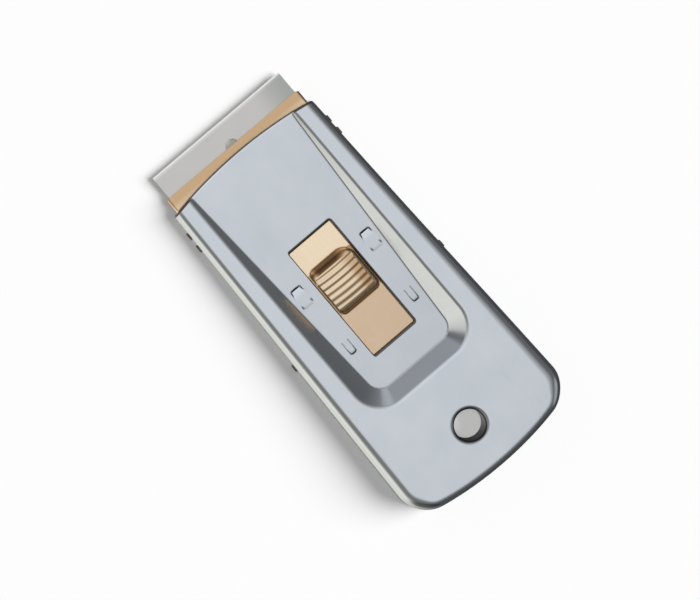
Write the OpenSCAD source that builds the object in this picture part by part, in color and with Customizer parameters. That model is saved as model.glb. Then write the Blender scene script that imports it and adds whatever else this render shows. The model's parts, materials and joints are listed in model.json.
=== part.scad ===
// Retractable razor blade scraper: a stamped case, and a pressed slide that carries a single-edge blade.
// The cutting edge points along +Y, the thumb side is up, and the case lies on Z = 0.
// The origin is the middle of the whole object's length and width, on the surface that it lies on.

/* [Blade] */
// Length of the cutting edge
blade_l = 38.1; // [33:0.1:46]
// Width of the blade, from the cutting edge to the back of its spine
blade_w = 19.05; // [17:0.05:22]
// Thickness of the blade sheet
blade_t = 0.23; // [0.15:0.01:0.4]
// Length of the ground bevel
bevel_l = 0.9; // [0.5:0.1:1.5]
// Radius of the round hole in the middle of the blade
blade_hole_r = 1.75; // [1:0.05:2.2]
// Distance of that hole's centre from the cutting edge
blade_hole_in = 6.3; // [5:0.1:8]
// Radius of the half-round notches in the blade's ends
notch_r = 0.9; // [0.7:0.05:1.2]
// Distance of the notches' centre from the cutting edge
notch_in = 12.6; // [11:0.1:13]
// Depth of the folded spine, from its mouth to its back
spine_w = 4.75; // [4:0.05:5]
// Thickness of the folded spine
spine_t = 1.13; // [0.9:0.01:1.6]
// How much shorter the spine is than the blade, at each end
spine_short = 0.35; // [0.1:0.05:1]

/* [Slide] */
// Thickness of the slide's sheet
slide_t = 0.7; // [0.6:0.05:1]
// How far the blade stands out in front of the slide
blade_out = 5.93; // [4:0.01:6.1]
// Length of the wide front part of the slide
yoke_l = 22.4; // [20:0.1:25]
// Radius of the corners at the back of the wide part
yoke_corner_r = 2; // [1:0.1:4]
// Radius of the corners at the front of the wide part
lip_corner_r = 0.6; // [0.3:0.1:1.5]
// Width of the tongue behind the wide part
tongue_w = 16.8; // [14:0.1:18]
// Radius of the corners at the end of the tongue
tongue_corner_r = 2.5; // [1:0.1:5]
// Length of the joggle that steps the slide up over the blade's spine
joggle_l = 0.8; // [0.4:0.1:1]
// Outer radius of the fold between the plate and its side flanges
fold_r = 0.6; // [0.3:0.05:0.7]

/* [Thumb hump] */
// Distance from the back of the wide part to the front foot of the hump
hump_back = 11.6; // [10:0.1:20]
// Length of the hump, foot to foot
hump_l = 13; // [11:0.1:16]
// Width of the hump
hump_w = 12.1; // [10:0.1:14]
// Radius of the hump's corners in plan
hump_corner_r = 1.9; // [0.8:0.1:2.5]
// Height of the hump's crown above the slide
hump_h = 3.9; // [3:0.1:5]
// Length in plan of the hump's steep front wall
hump_front_l = 1.85; // [1:0.05:2.5]
// Length in plan of the hump's steep tail wall
hump_tail_l = 1.6; // [1:0.05:2.5]
// Rise of the arch along the hump's crown
hump_arch = 0.5; // [0.2:0.05:1]
// Number of ridges across the hump
ridge_n = 7; // [5:1:7]
// Radius of a ridge
ridge_r = 0.42; // [0.3:0.01:0.5]

/* [Travel] */
// How far the slide moves forward from the place shown
travel_forward = 6.3; // [4:0.1:6.3]
// How far the slide draws back from the place shown
travel_back = 11.5; // [11:0.1:14]
// Gap left between the hump and the window at each end of the travel
end_gap = 0.2; // [0.1:0.05:0.5]

/* [Case] */
// Thickness of the cover's sheet
cover_t = 0.8; // [0.5:0.05:1]
// Thickness of the base plate
base_t = 0.8; // [0.5:0.05:1]
// How far the slide's front stands out in front of the case's front corners
slide_out = 3.89; // [3:0.01:5]
// How far the case's front edge bows forward in the middle
crown = 2; // [1:0.1:2.5]
// How much wider each side of the case is at the tail than at the front
flare = 2.55; // [0:0.05:4]
// Length of the case behind the slide's end, with the slide drawn back
handle_l = 19.3; // [17:0.1:30]
// Rise of the cover's upper face from the front edge to the tail
rise = 4.48; // [3.8:0.02:5.5]
// Depth of the sunk panel at the very front edge
front_step = 0.5; // [0.1:0.01:0.6]
// Radius of the tail's corners in plan
tail_corner_r = 8.2; // [5:0.1:10]
// Radius of the tail edge's bow in plan
tail_bow_r = 74; // [60:1:120]
// Radius of the rolled edge at the front
roll_front = 2; // [1.2:0.05:2.1]
// Radius of the rolled edge at the tail
roll_tail = 2.9; // [1.6:0.05:3.1]
// How far the side walls lean in below the rolled edge
draft = 0.22; // [0:0.01:0.25]

/* [Panel] */
// Half the distance between the outer lines of the sunk panel's walls
panel_outer = 16; // [15.5:0.05:16.2]
// Half the width of the panel's floor at the front
panel_front = 15.3; // [14.5:0.05:15.4]
// Half the width of the panel's floor at its tail corners
panel_tail = 11.8; // [11.7:0.05:13]
// Length of the floor behind the window
panel_behind = 7.7; // [7:0.1:10]
// Length in plan of the panel's tail wall
panel_wall = 4; // [3.5:0.1:5]
// Radius of the floor's tail corners
panel_floor_r = 3.75; // [2.5:0.05:5]
// Radius of the outer line's tail corners
panel_outer_r = 7.75; // [6:0.05:10]

/* [Lanced tongues] */
// Width of a large tongue's opening
big_w = 3.5; // [3:0.05:3.8]
// Length of a large tongue's opening
big_l = 5.4; // [4:0.05:7]
// Width of a small tongue's opening
small_w = 2.1; // [1.6:0.05:2.6]
// Length of a small tongue's opening
small_l = 3.5; // [3:0.05:5]
// Distance from the window's tail edge forward to the front of a small tongue
small_from_tail = 7; // [5:0.1:9]
// Width of the slit beside a tongue
slit = 0.3; // [0.2:0.05:0.5]
// How far the free end of a large tongue is pressed down
big_drop = 1.15; // [0.9:0.05:1.3]
// How far the free end of a small tongue is pressed down
small_drop = 0.4; // [0.1:0.05:0.6]

/* [Hanging hole] */
// Radius of the bore of the hanging hole
hole_r = 3.7; // [3:0.05:4.5]
// Distance of the hole's centre from the tail
hole_in = 12; // [10:0.1:14]
// Width of the chamfer round the hole's mouth
hole_lip = 0.6; // [0.3:0.05:0.7]

/* [Crimp ears] */
// Length of a crimp ear on the base plate
ear_l = 1.9; // [1.2:0.1:3]
// How far an ear stands out of the cover's wall
ear_out = 0.45; // [0.2:0.05:0.8]
// Distances of the ears' centres behind the front corners
ear_places = [6, 9.6, 45.3];

/* [Detent spring] */
// Thickness of the leaf spring
spring_t = 0.3; // [0.2:0.05:0.35]
// Width of the leaf spring
spring_w = 9; // [7:0.1:11]
// Distance from the tongue's end to the row of rivets
rivet_in = 4; // [3.5:0.1:6]
// Distance between the two rivets
rivet_apart = 5.2; // [4:0.1:6]
// Radius of a rivet's shank
rivet_r = 0.9; // [0.6:0.05:1]
// Radius of a rivet's head
rivet_head_r = 1.6; // [1.3:0.05:1.9]
// Distance from the rivets forward to the spring's nose
nose_forward = 8.5; // [7:0.1:10]
// Radius of the detent holes in the base plate
detent_r = 1.6; // [1.2:0.05:2.4]

/* [Clearances] */
// Side gap between the blade's ends and the slide's flanges
blade_gap = 0.1; // [0.05:0.01:0.3]
// Gap between the base plate and the blade's spine, which rides over it
ride_gap = 0.13; // [0.08:0.01:0.3]
// Gap between the spine and the slide above it
spine_gap = 0.1; // [0:0.01:0.2]
// Gap between the slide and the cover above it
top_gap = 0.24; // [0.15:0.01:0.5]
// Side gap between the slide and the cover's walls at the front
side_gap = 0.35; // [0.3:0.05:0.6]
// Side gap between the hump and the window
hump_gap = 0.27; // [0.2:0.01:0.4]
// Side gap between the tongue and the lanced tongues that guide it
guide_gap = 0.3; // [0.15:0.05:0.4]
// Gap between the base plate and the cover's wall round it
base_gap = 0.05; // [0.03:0.01:0.1]
// Gap between the back of the wide part, drawn back, and the large tongues that stop it
stop_gap = 0.7; // [0.4:0.05:1]
// Gap between a nub and the blade's notch round it
nub_gap = 0.12; // [0.08:0.01:0.2]
// Gap between the spine, slid forward, and the front edge of the base plate
mouth_gap = 0.65; // [0.4:0.05:1]

/* [Hidden] */
$fn = 64;

// How far the panel's wall runs on past the cover's upper plane, as a share of its depth there
wall_past_share = 1.5;
// How much wider the hollow is on the sheet's underside, in thicknesses: at the floor and at the outer line
floor_grow_share = 0.33;
line_grow_share = 1.2;
// How far the ridges' ends stay inside the hump's sides
side_round = 0.3;
// Play round a rivet, depth of its countersunk head, height of its tail head
rivet_play = 0.03;
rivet_sink = 0.45;
rivet_tail_h = 0.3;
// Half the length of the leaf's flat under the rivets, half the length of its nose, length of its raised tip
spring_pad = 2.6;
nose_flat = 0.9;
tip_l = 2.2;
// Gap between the nose and the base plate
nose_gap = 0.06;
// Overrun of every cut past the face that it cuts
over = 1;
// Facets round the front edge's long bow, round a nub or the spine's back, and round a ridge
bow_facets = 480;
nub_facets = 32;
ridge_facets = 24;
// Steps along a corner arc, along the tail's bow and up the rolled edge
corner_steps = 9;
bow_steps = 4;
roll_steps = 5;

// Heights of the stack, from the surface that the case lies on upwards
blade_mid_z = base_t + ride_gap + spine_t / 2;
land_z = blade_mid_z + blade_t / 2;
slide_z = base_t + ride_gap + spine_t + spine_gap;
slide_top = slide_z + slide_t;
panel_z = slide_top + top_gap + cover_t;
flange_z = base_t + ride_gap;
// Thickness of one leg of the folded spine
spine_leg = (spine_t - blade_t) / 2;

// Distances behind the line through the case's front corners, called stations below
edge_s = -slide_out - blade_out;
slide_s = -slide_out;
spine_back_s = edge_s + blade_w;
spine_mouth_s = spine_back_s - spine_w;
land_end_s = spine_mouth_s - joggle_l;
yoke_s = slide_s + yoke_l;
hump_s = yoke_s + hump_back;
hump_end_s = hump_s + hump_l;
window_s = hump_s - travel_forward - end_gap;
window_end_s = hump_end_s + travel_back + end_gap;
// The tongue still fills the window by this much when the slide is forward
fill_overlap = 1.3;
tongue_end_s = window_end_s + travel_forward + fill_overlap;
case_end_s = tongue_end_s + travel_back + handle_l;
panel_end_s = window_end_s + panel_behind;
hole_s = case_end_s - hole_in;
big_s = yoke_s + travel_back + stop_gap;
small_s = window_end_s - small_from_tail;
// The base plate starts just behind the spine's forward place, so that a blade can drop out there
mouth_s = spine_back_s - travel_forward + mouth_gap;
rivet_s = tongue_end_s - rivet_in;
nose_s = rivet_s - nose_forward;

// Widths and radii that follow the pieces that they hold
slide_half = blade_l / 2 + blade_gap + slide_t;
front_half = slide_half + side_gap + cover_t;
tail_half = front_half + flare;
front_bow_r = (front_half * front_half + crown * crown) / (2 * crown);
neck_r = hole_r + cover_t;
big_x = tongue_w / 2 + guide_gap + big_w / 2;
small_x = tongue_w / 2 + guide_gap + small_w / 2;

// Y of a station, so that the whole object is centred on the origin
function y_at(s) = (edge_s + case_end_s) / 2 - s;
// Height of the cover's upper plane at a station
function top_at(s) = panel_z + front_step + rise * (s + crown) / (case_end_s + crown);
// Radius of the rolled edge at a station
function roll_at(s) = roll_front + (roll_tail - roll_front) * s / case_end_s;

// Right half of the case's outline: each entry is the centre of an arc, its radius and an angle on it.
// The side line is tangent to the tail's corner, which is tangent to the tail's bow.
corner_x = tail_half - tail_corner_r;
bow_s = case_end_s - tail_bow_r;
corner_s = bow_s + sqrt(pow(tail_bow_r - tail_corner_r, 2) - pow(corner_x, 2));
side_run = norm([corner_x - front_half, corner_s]);
side_angle = acos(-tail_corner_r / side_run) + atan2(-corner_s, corner_x - front_half);
bow_angle = atan2(bow_s - corner_s, corner_x);
half_outline = concat(
    [[[front_half, -crown - over], 0, side_angle]],
    [for (i = [0:corner_steps])
        [[corner_x, corner_s], tail_corner_r, side_angle + (bow_angle - side_angle) * i / corner_steps]],
    [for (i = [1:bow_steps]) [[0, bow_s], tail_bow_r, bow_angle + (-90 - bow_angle) * i / bow_steps]]
);

// A point of the right half, moved in from the outline: plan distance across and station
function in_point(e, inset) = [
    e[0][0] + (e[1] - inset) * cos(e[2]),
    e[0][1] - (e[1] - inset) * sin(e[2])
];
// A closed ring from the right half's points, mirrored for the left half
function closed(half) = concat(
    half,
    [for (i = [len(half) - 2:-1:0]) [-half[i][0], half[i][1], half[i][2]]]
);

// A solid between rings of equally many points, each ring a list of [across, station, height]
module loft(rings) {
    n = len(rings[0]);
    points = [for (r = rings) for (p = r) [p[0], y_at(p[1]), p[2]]];
    sides = [for (k = [0:len(rings) - 2]) for (i = [0:n - 1]) for (half = [0, 1])
        half == 0
            ? [k * n + i, k * n + (i + 1) % n, (k + 1) * n + i]
            : [k * n + (i + 1) % n, (k + 1) * n + (i + 1) % n, (k + 1) * n + i]];
    caps = [[for (i = [n - 1:-1:0]) i], [for (i = [0:n - 1]) (len(rings) - 1) * n + i]];
    polyhedron(points, concat(sides, caps));
}

// One ring of the case's shell, at a turn round the rolled edge, on a surface this deep in the sheet
function shell_ring(turn, depth) = closed([
    for (e = half_outline)
        let (
            base = in_point(e, 0),
            r = roll_at(base[1]),
            p = in_point(e, draft + r - (r - depth) * cos(turn))
        )
        [p[0], p[1], top_at(p[1]) - r + (r - depth) * sin(turn)]
]);
// The ring at the foot of the walls
function foot_ring(depth, height) = closed([
    for (e = half_outline) let (p = in_point(e, depth)) [p[0], p[1], height]
]);

module shell(depth, foot) {
    loft(concat(
        [foot_ring(depth, foot)],
        [for (k = [0:roll_steps]) shell_ring(90 * k / roll_steps, depth)]
    ));
}

// Right half of one line of the sunk panel: open at the front, a round corner at the tail
function panel_half(front, tail, end, r) =
    let (
        corner = [tail - r, end - r],
        run = norm([corner[0] - front, corner[1]]),
        start = acos(-r / run) + atan2(-corner[1], corner[0] - front)
    )
    concat(
        [[front, -crown - over]],
        [for (i = [0:corner_steps])
            let (a = start + (-90 - start) * i / corner_steps)
            [corner[0] + r * cos(a), corner[1] - r * sin(a)]],
        [[0, end]]
    );

// The sunk panel's hollow, grown this much at its floor line and its outer line, and this far lower.
// Its wall runs on past the cover's upper plane, so that it cuts clean.
module panel_hollow(floor_grow, outer_grow, below) {
    floor_line = panel_half(panel_front + floor_grow, panel_tail + floor_grow,
        panel_end_s + floor_grow, panel_floor_r + floor_grow);
    outer_line = panel_half(panel_outer + outer_grow, panel_outer + outer_grow,
        panel_end_s + panel_wall + outer_grow, panel_outer_r + outer_grow);
    past_line = [for (i = [0:len(floor_line) - 1])
        let (p = floor_line[i], way = (outer_line[i] - p) * wall_past_share)
        [p[0] + way[0], p[1] + way[1], (top_at(outer_line[i][1]) - panel_z) * wall_past_share]];
    floor_z = panel_z - below;
    loft([
        closed([for (p = floor_line) [p[0], p[1], floor_z]]),
        closed([for (p = past_line) [p[0], p[1], floor_z + p[2]]]),
        closed([for (p = past_line) [p[0], p[1], panel_z + 2 * rise]])
    ]);
}

// A block across the object: centre across, width, stations from and to, heights from and to
module block(x, w, s0, s1, z0, z1) {
    translate([x - w / 2, y_at(s1), z0])
        cube([w, s1 - s0, z1 - z0]);
}

// A profile of [station, height] points, extruded across the object
module across(x, w, profile) {
    translate([x - w / 2, 0, 0])
        rotate([90, 0, 90])
            linear_extrude(w)
                polygon([for (p = profile) [y_at(p[0]), p[1]]]);
}

// Case

// A tongue lanced out of the panel: its root at station s0, its free end at s1, pressed down
module lanced(x, w, s0, s1, drop) {
    way = sign(s1 - s0);
    across(x, w - 2 * slit, [
        [s0 - way * over, panel_z],
        [s0 + way * cover_t, panel_z],
        [s1, panel_z - drop],
        [s1, panel_z - drop - cover_t],
        [s0 + way * cover_t, panel_z - cover_t],
        [s0 - way * over, panel_z - cover_t]
    ]);
}

module panel_openings() {
    deep = panel_z - cover_t - over;
    block(0, hump_w + 2 * hump_gap, window_s, window_end_s, deep, panel_z + over);
    for (side = [-1, 1]) {
        block(side * big_x, big_w, big_s, big_s + big_l, deep, panel_z + over);
        block(side * small_x, small_w, small_s, small_s + small_l, deep, panel_z + over);
    }
}

module ear_slots() {
    for (side = [-1, 1], s = ear_places)
        block(side * front_half, 4 * cover_t + 2 * flare, s - ear_l / 2 - base_gap, s + ear_l / 2 + base_gap,
            -over, base_t + base_gap);
}

// Takes its children as one skin of small flat faces, which is how pressed sheet is drawn here
module skin() {
    resize([0, 0, 0])
        children();
}

// The bare pressed sheet, before it is pierced
module case_sheet() {
    difference() {
        intersection() {
            shell(0, 0);
            translate([0, y_at(front_bow_r - crown), -over])
                cylinder(h = panel_z + 2 * rise, r = front_bow_r, $fn = bow_facets);
        }
        panel_hollow(0, 0, 0);
        difference() {
            shell(cover_t, -over);
            panel_hollow(cover_t * floor_grow_share, cover_t * line_grow_share, cover_t);
        }
    }
}

module cover() color([0.77, 0.79, 0.82]) {
    hole_y = y_at(hole_s);
    hole_top = top_at(hole_s);
    difference() {
        union() {
            difference() {
                skin()
                    case_sheet();
                panel_openings();
                ear_slots();
            }
            translate([0, hole_y, 0])
                cylinder(h = hole_top - cover_t / 2, r = neck_r);
            for (side = [-1, 1]) {
                lanced(side * big_x, big_w, big_s + big_l, big_s + slit, big_drop);
                lanced(side * small_x, small_w, small_s, small_s + small_l - slit, small_drop);
            }
        }
        translate([0, hole_y, -over])
            cylinder(h = hole_top + 2 * over, r = hole_r);
        translate([0, hole_y, hole_top - hole_lip])
            cylinder(h = 2 * hole_lip, r1 = hole_r, r2 = hole_r + 2 * hole_lip);
    }
}

module base_plate() color([0.66, 0.68, 0.71]) {
    lean = draft * base_t / (panel_z - roll_front);
    inset = cover_t + base_gap + lean;
    outline = closed([for (e = half_outline) let (p = in_point(e, inset)) [p[0], p[1], 0]]);
    difference() {
        union() {
            intersection() {
                linear_extrude(base_t)
                    polygon([for (p = outline) [p[0], y_at(p[1])]]);
                block(0, 2 * tail_half, mouth_s, case_end_s, -over, base_t + over);
            }
            for (side = [-1, 1], s = ear_places) {
                wall = front_half + flare * s / corner_s;
                block(side * (wall + (ear_out - inset) / 2), ear_out + inset + over,
                    s - ear_l / 2, s + ear_l / 2, 0, base_t);
            }
        }
        translate([0, y_at(hole_s), -over])
            cylinder(h = base_t + 2 * over, r = neck_r + base_gap);
        for (shift = [-travel_forward, 0, travel_back])
            translate([0, y_at(nose_s + shift), -over])
                cylinder(h = base_t + 2 * over, r = detent_r);
    }
}

// Slide

// Plan of the slide's plate: the wide part in front, the tongue behind, all corners round
module slide_plan() {
    wide = 2 * slide_half - 2 * fold_r;
    difference() {
        translate([-wide / 2, y_at(yoke_s)])
            square([wide, yoke_l]);
        for (side = [-1, 1])
            translate([side * (wide / 2 - yoke_corner_r), y_at(yoke_s) + yoke_corner_r])
                corner_cut(yoke_corner_r, side);
    }
    tongue_half = tongue_w / 2;
    translate([-tongue_half, y_at(tongue_end_s) + tongue_corner_r])
        square([tongue_w, tongue_end_s - yoke_s - tongue_corner_r + over]);
    translate([-tongue_half + tongue_corner_r, y_at(tongue_end_s)])
        square([tongue_w - 2 * tongue_corner_r, 2 * tongue_corner_r]);
    for (side = [-1, 1])
        translate([side * (tongue_half - tongue_corner_r), y_at(tongue_end_s) + tongue_corner_r])
            circle(r = tongue_corner_r);
}

// What lies outside a round corner that points to -Y and to one side
module corner_cut(r, side) {
    difference() {
        translate([side > 0 ? 0 : -2 * r, -2 * r])
            square([2 * r, 2 * r]);
        circle(r = r);
    }
}

// Height profile of the slide's plate: low over the blade, then up over its spine
slide_profile = [
    [slide_s, land_z],
    [land_end_s, land_z],
    [spine_mouth_s, slide_z],
    [tongue_end_s, slide_z],
    [tongue_end_s, slide_top],
    [spine_mouth_s, slide_top],
    [land_end_s, land_z + slide_t],
    [slide_s, land_z + slide_t]
];

// A side flange of the slide between two stations, under a plate whose top is at this height
module flange(side, s0, s1, top) {
    x0 = slide_half - slide_t;
    translate([0, y_at(s1), 0])
        rotate([90, 0, 180])
            linear_extrude(s1 - s0)
                polygon([for (p = [
                    [x0, flange_z],
                    [slide_half, flange_z],
                    [slide_half, top - fold_r],
                    [slide_half - fold_r, top],
                    [x0, top]
                ]) [-side * p[0], p[1]]]);
}

// Outer or inner profile of the thumb hump: this far inside its outer surface
function hump_profile(depth) =
    let (
        crest_s = hump_s + hump_front_l,
        crest_end_s = hump_end_s - hump_tail_l,
        mid = (crest_s + crest_end_s) / 2,
        half = (crest_end_s - crest_s) / 2 - depth / 2,
        low = slide_top + hump_h - hump_arch - depth,
        steps = 8
    )
    concat(
        [[hump_s + depth, slide_z - over * (depth > 0 ? 1 : 0)]],
        [[hump_s + depth, slide_top - depth]],
        [for (i = [0:steps])
            let (u = 2 * i / steps - 1)
            [mid + u * half, low + hump_arch * (1 - u * u)]],
        [[hump_end_s - depth, slide_top - depth]],
        [[hump_end_s - depth, slide_z - over * (depth > 0 ? 1 : 0)]]
    );

// A block with round upright corners: width, stations from and to, heights from and to
module round_block(w, s0, s1, z0, z1, r) {
    translate([0, 0, z0])
        linear_extrude(z1 - z0) {
            translate([-w / 2 + r, y_at(s1)])
                square([w - 2 * r, s1 - s0]);
            translate([-w / 2, y_at(s1) + r])
                square([w, s1 - s0 - 2 * r]);
            for (x = [-w / 2 + r, w / 2 - r], y = [y_at(s1) + r, y_at(s0) - r])
                translate([x, y])
                    circle(r = r);
        }
}

module ridges() {
    crest_s = hump_s + hump_front_l;
    crest_end_s = hump_end_s - hump_tail_l;
    mid = (crest_s + crest_end_s) / 2;
    half = (crest_end_s - crest_s) / 2;
    ridge_in = ridge_r + side_round;
    for (i = [0:ridge_n - 1]) {
        s = crest_s + (crest_end_s - crest_s) * (i + 0.5) / ridge_n;
        u = (s - mid) / half;
        z = slide_top + hump_h - hump_arch * u * u - ridge_r / 2;
        translate([-hump_w / 2 + ridge_in, y_at(s), z])
            rotate([0, 90, 0])
                cylinder(h = hump_w - 2 * ridge_in, r = ridge_r, $fn = ridge_facets);
    }
}

module hump() {
    intersection() {
        across(0, hump_w, hump_profile(0));
        round_block(hump_w, hump_s, hump_end_s, slide_z, slide_top + hump_h + over, hump_corner_r);
    }
    ridges();
}

module blade_slide() color([0.84, 0.69, 0.47]) {
    difference() {
        union() {
            intersection() {
                across(0, 2 * slide_half, slide_profile);
                translate([0, 0, flange_z])
                    linear_extrude(slide_top)
                        slide_plan();
            }
            for (side = [-1, 1]) {
                flange(side, slide_s + lip_corner_r, land_end_s, land_z + slide_t);
                flange(side, land_end_s, yoke_s - yoke_corner_r, land_z + slide_t);
                flange(side, spine_mouth_s, yoke_s - yoke_corner_r, slide_top);
                translate([side * blade_l / 2, y_at(edge_s + notch_in), flange_z])
                    cylinder(h = land_z - flange_z + slide_t / 2, r = notch_r - nub_gap, $fn = nub_facets);
            }
            hump();
        }
        across(0, hump_w - 2 * slide_t, hump_profile(slide_t));
        for (side = [-1, 1])
            translate([side * rivet_apart / 2, y_at(rivet_s), slide_z])
                rivet_hole();
    }
}

// The hole that a flush rivet fills, with its countersink
module rivet_hole() {
    translate([0, 0, -over])
        cylinder(h = slide_t + 2 * over, r = rivet_r + rivet_play);
    translate([0, 0, slide_t - rivet_sink])
        cylinder(h = 2 * rivet_sink, r1 = rivet_r + rivet_play,
            r2 = rivet_r + rivet_play + 2 * (rivet_head_r - rivet_r));
}

module spring_rivets() color([0.72, 0.72, 0.72]) {
    for (side = [-1, 1])
        translate([side * rivet_apart / 2, y_at(rivet_s), slide_z]) {
            translate([0, 0, -spring_t - rivet_tail_h])
                cylinder(h = rivet_tail_h, r = rivet_head_r);
            translate([0, 0, -spring_t - rivet_tail_h])
                cylinder(h = slide_t + spring_t + rivet_tail_h, r = rivet_r);
            translate([0, 0, slide_t - rivet_sink])
                cylinder(h = rivet_sink, r1 = rivet_r, r2 = rivet_head_r);
        }
}

// The leaf: flat under the rivets, then down to a nose that rides over the base plate, then up to its tip
module detent_spring() color([0.45, 0.47, 0.5]) {
    nose_z = base_t + nose_gap;
    difference() {
        across(0, spring_w, [
            [rivet_s + spring_pad, slide_z],
            [rivet_s - spring_pad, slide_z],
            [nose_s + nose_flat, nose_z + spring_t],
            [nose_s - nose_flat, nose_z + spring_t],
            [nose_s - nose_flat - tip_l, slide_z - 2 * spring_t],
            [nose_s - nose_flat - tip_l, slide_z - 3 * spring_t],
            [nose_s - nose_flat, nose_z],
            [nose_s + nose_flat, nose_z],
            [rivet_s - spring_pad, slide_z - spring_t],
            [rivet_s + spring_pad, slide_z - spring_t]
        ]);
        for (side = [-1, 1])
            translate([side * rivet_apart / 2, y_at(rivet_s), base_t])
                cylinder(h = slide_z, r = rivet_r + rivet_play);
    }
}

// Blade

module blade() color([0.78, 0.78, 0.78]) {
    low = blade_mid_z - blade_t / 2;
    high = blade_mid_z + blade_t / 2;
    difference() {
        across(0, blade_l, [
            [edge_s, blade_mid_z],
            [edge_s + bevel_l, low],
            [spine_back_s - spine_leg, low],
            [spine_back_s - spine_leg, high],
            [edge_s + bevel_l, high]
        ]);
        translate([0, y_at(edge_s + blade_hole_in), 0])
            cylinder(h = high + over, r = blade_hole_r);
        for (side = [-1, 1])
            translate([side * blade_l / 2, y_at(edge_s + notch_in), 0])
                cylinder(h = high + over, r = notch_r);
    }
}

module blade_spine() color([0.6, 0.61, 0.63]) {
    half = spine_t / 2;
    length = blade_l - 2 * spine_short;
    difference() {
        union() {
            block(0, length, spine_mouth_s, spine_back_s - half, blade_mid_z - half, blade_mid_z + half);
            translate([-length / 2, y_at(spine_back_s - half), blade_mid_z])
                rotate([0, 90, 0])
                    cylinder(h = length, r = half, $fn = nub_facets);
        }
        block(0, length + 2 * over, spine_mouth_s - over, spine_back_s - spine_leg,
            blade_mid_z - blade_t / 2, blade_mid_z + blade_t / 2);
    }
}

cover();
base_plate();
blade_slide();
detent_spring();
spring_rivets();
blade();
blade_spine();
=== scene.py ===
"""The looks of a retractable razor blade scraper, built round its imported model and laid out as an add-on."""
import json
from math import acos, atan2, cos, hypot, pi, radians, sin, sqrt, tan

import bmesh
import bpy
from mathutils import Matrix, Vector


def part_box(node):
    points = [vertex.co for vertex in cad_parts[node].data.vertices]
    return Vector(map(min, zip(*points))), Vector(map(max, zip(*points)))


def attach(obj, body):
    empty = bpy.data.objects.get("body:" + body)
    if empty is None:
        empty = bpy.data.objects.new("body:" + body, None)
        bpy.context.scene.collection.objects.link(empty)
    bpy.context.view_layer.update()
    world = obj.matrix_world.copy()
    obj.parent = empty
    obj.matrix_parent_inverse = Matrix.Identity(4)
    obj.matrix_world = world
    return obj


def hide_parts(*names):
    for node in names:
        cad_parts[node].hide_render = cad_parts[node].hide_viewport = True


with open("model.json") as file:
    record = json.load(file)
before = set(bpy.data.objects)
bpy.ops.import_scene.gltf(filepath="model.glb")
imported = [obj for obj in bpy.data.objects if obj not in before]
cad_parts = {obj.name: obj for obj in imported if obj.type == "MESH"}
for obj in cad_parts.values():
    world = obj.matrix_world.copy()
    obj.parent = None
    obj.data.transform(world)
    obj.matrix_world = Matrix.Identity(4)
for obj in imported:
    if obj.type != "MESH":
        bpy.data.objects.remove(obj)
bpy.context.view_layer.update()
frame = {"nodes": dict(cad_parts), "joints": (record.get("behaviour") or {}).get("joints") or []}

bl_info = {
    "name": "Razor Blade Scraper",
    "version": (1, 0, 0),
    "blender": (4, 5, 0),
    "location": "3D View > Sidebar > Scraper",
    "description": "Builds the pressed sheets, finishes and studio of a retractable razor blade scraper",
    "category": "Object",
}

MM = 0.001
# The case's front corners lie on station 0, and a station is a distance behind them in millimetres. The front
# edge is bowed ahead of them by its crown
CROWN = 2.0
FRONT_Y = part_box("cover")[1].y / MM - CROWN

# Sizes of the pressed case, in millimetres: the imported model's, unless a comment says otherwise

FRONT_HALF = 21.0
TAIL_HALF = 23.55
CASE_END = 93.21
TAIL_CORNER_R = 8.2
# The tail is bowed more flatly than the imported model's, and stands this much further out
TAIL_BOW_R = 92.0
TAIL_OUT = 0.25
# Its edge is rolled this much tighter, beginning at this station and in full after this length
TAIL_TIGHTER = 1.1
TIGHT_FROM = 88.5
TIGHT_OVER = 4.5
# The right wall stands out too, by this much at the tail, from this station on and growing over this length
RIGHT_OUT = 0.5
OUT_FROM = 12.0
OUT_OVER = 75.0
# The bowed front edge, and the radius that it is turned down by, across the floor and along the rails
BOW_R = (FRONT_HALF ** 2 + CROWN ** 2) / (2 * CROWN)
TURNED_FLOOR = 0.28
TURNED_RAIL = 0.75
# Heights: of the sunk panel, of the rails over it in front, and of the upper plane's rise to the tail
PANEL_Z = 3.9
STEP_Z = 0.5
RISE = 4.48
SLOPE = RISE / (CASE_END + CROWN)
# Radius of the rolled edge in front and at the tail, and how far the walls under it flare
ROLL_FRONT = 2.0
ROLL_TAIL = 2.9
DRAFT = 0.22
# Top of the slots for the crimp ears, the ears' stations and half length, and their play in the slots
SLOT_TOP = 0.85
EARS = (6.0, 9.6, 45.3)
EAR_HALF = 0.95
EAR_PLAY = 0.05
# Half widths of the panel's floor in front and at its tail, and of the rails' inner edges, with corner radii
FLOOR_FRONT = 15.3
FLOOR_TAIL = 11.8
FLOOR_R = 3.75
RAIL_HALF = 16.0
RAIL_R = 7.75
# How far the floor goes on behind the window, and how far its end wall runs back
FLOOR_BEHIND = 7.7
WALL_RUN = 4.0
# Left, right, front and tail edge of the window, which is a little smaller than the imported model's, its
# corner radius, and how much of its roll the left edge, the right edge and the two ends have
WINDOW = (-6.4, 5.93, 23.96, 54.68)
WINDOW_CORNER_R = 0.3
# The dark rolls, wider on the right and at the ends, paint the key light's shadow there
WINDOW_ROLLS = (0.45, 1.3, 1.5)
# Station and radius of the hanging hole
HOLE_S = 81.21
HOLE_R = 3.7
# The base plate lies inside the case's outline by the cover's sheet, some play and part of the flare. It has
# a hole round the neck, and one under the spring's nose for each place of the slide
BASE_INSET = 0.8 + 0.05 + 0.09
NECK_HOLE_R = 4.55
DETENT_R = 1.6
NOSE_S = 49.91

# Sizes of the slide, in millimetres

SLIDE_FRONT = -3.89
SLIDE_HALF = 19.85
# Radius of the folds down to its flanges
FOLD_R = 0.6
# The strip in front is the land, under the blade, and a joggle behind it leads up to the flat part
LAND_TOP = 2.31
LAND_END = 3.68
SPINE_MOUTH = 4.48
SLIDE_TOP = 2.86
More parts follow.
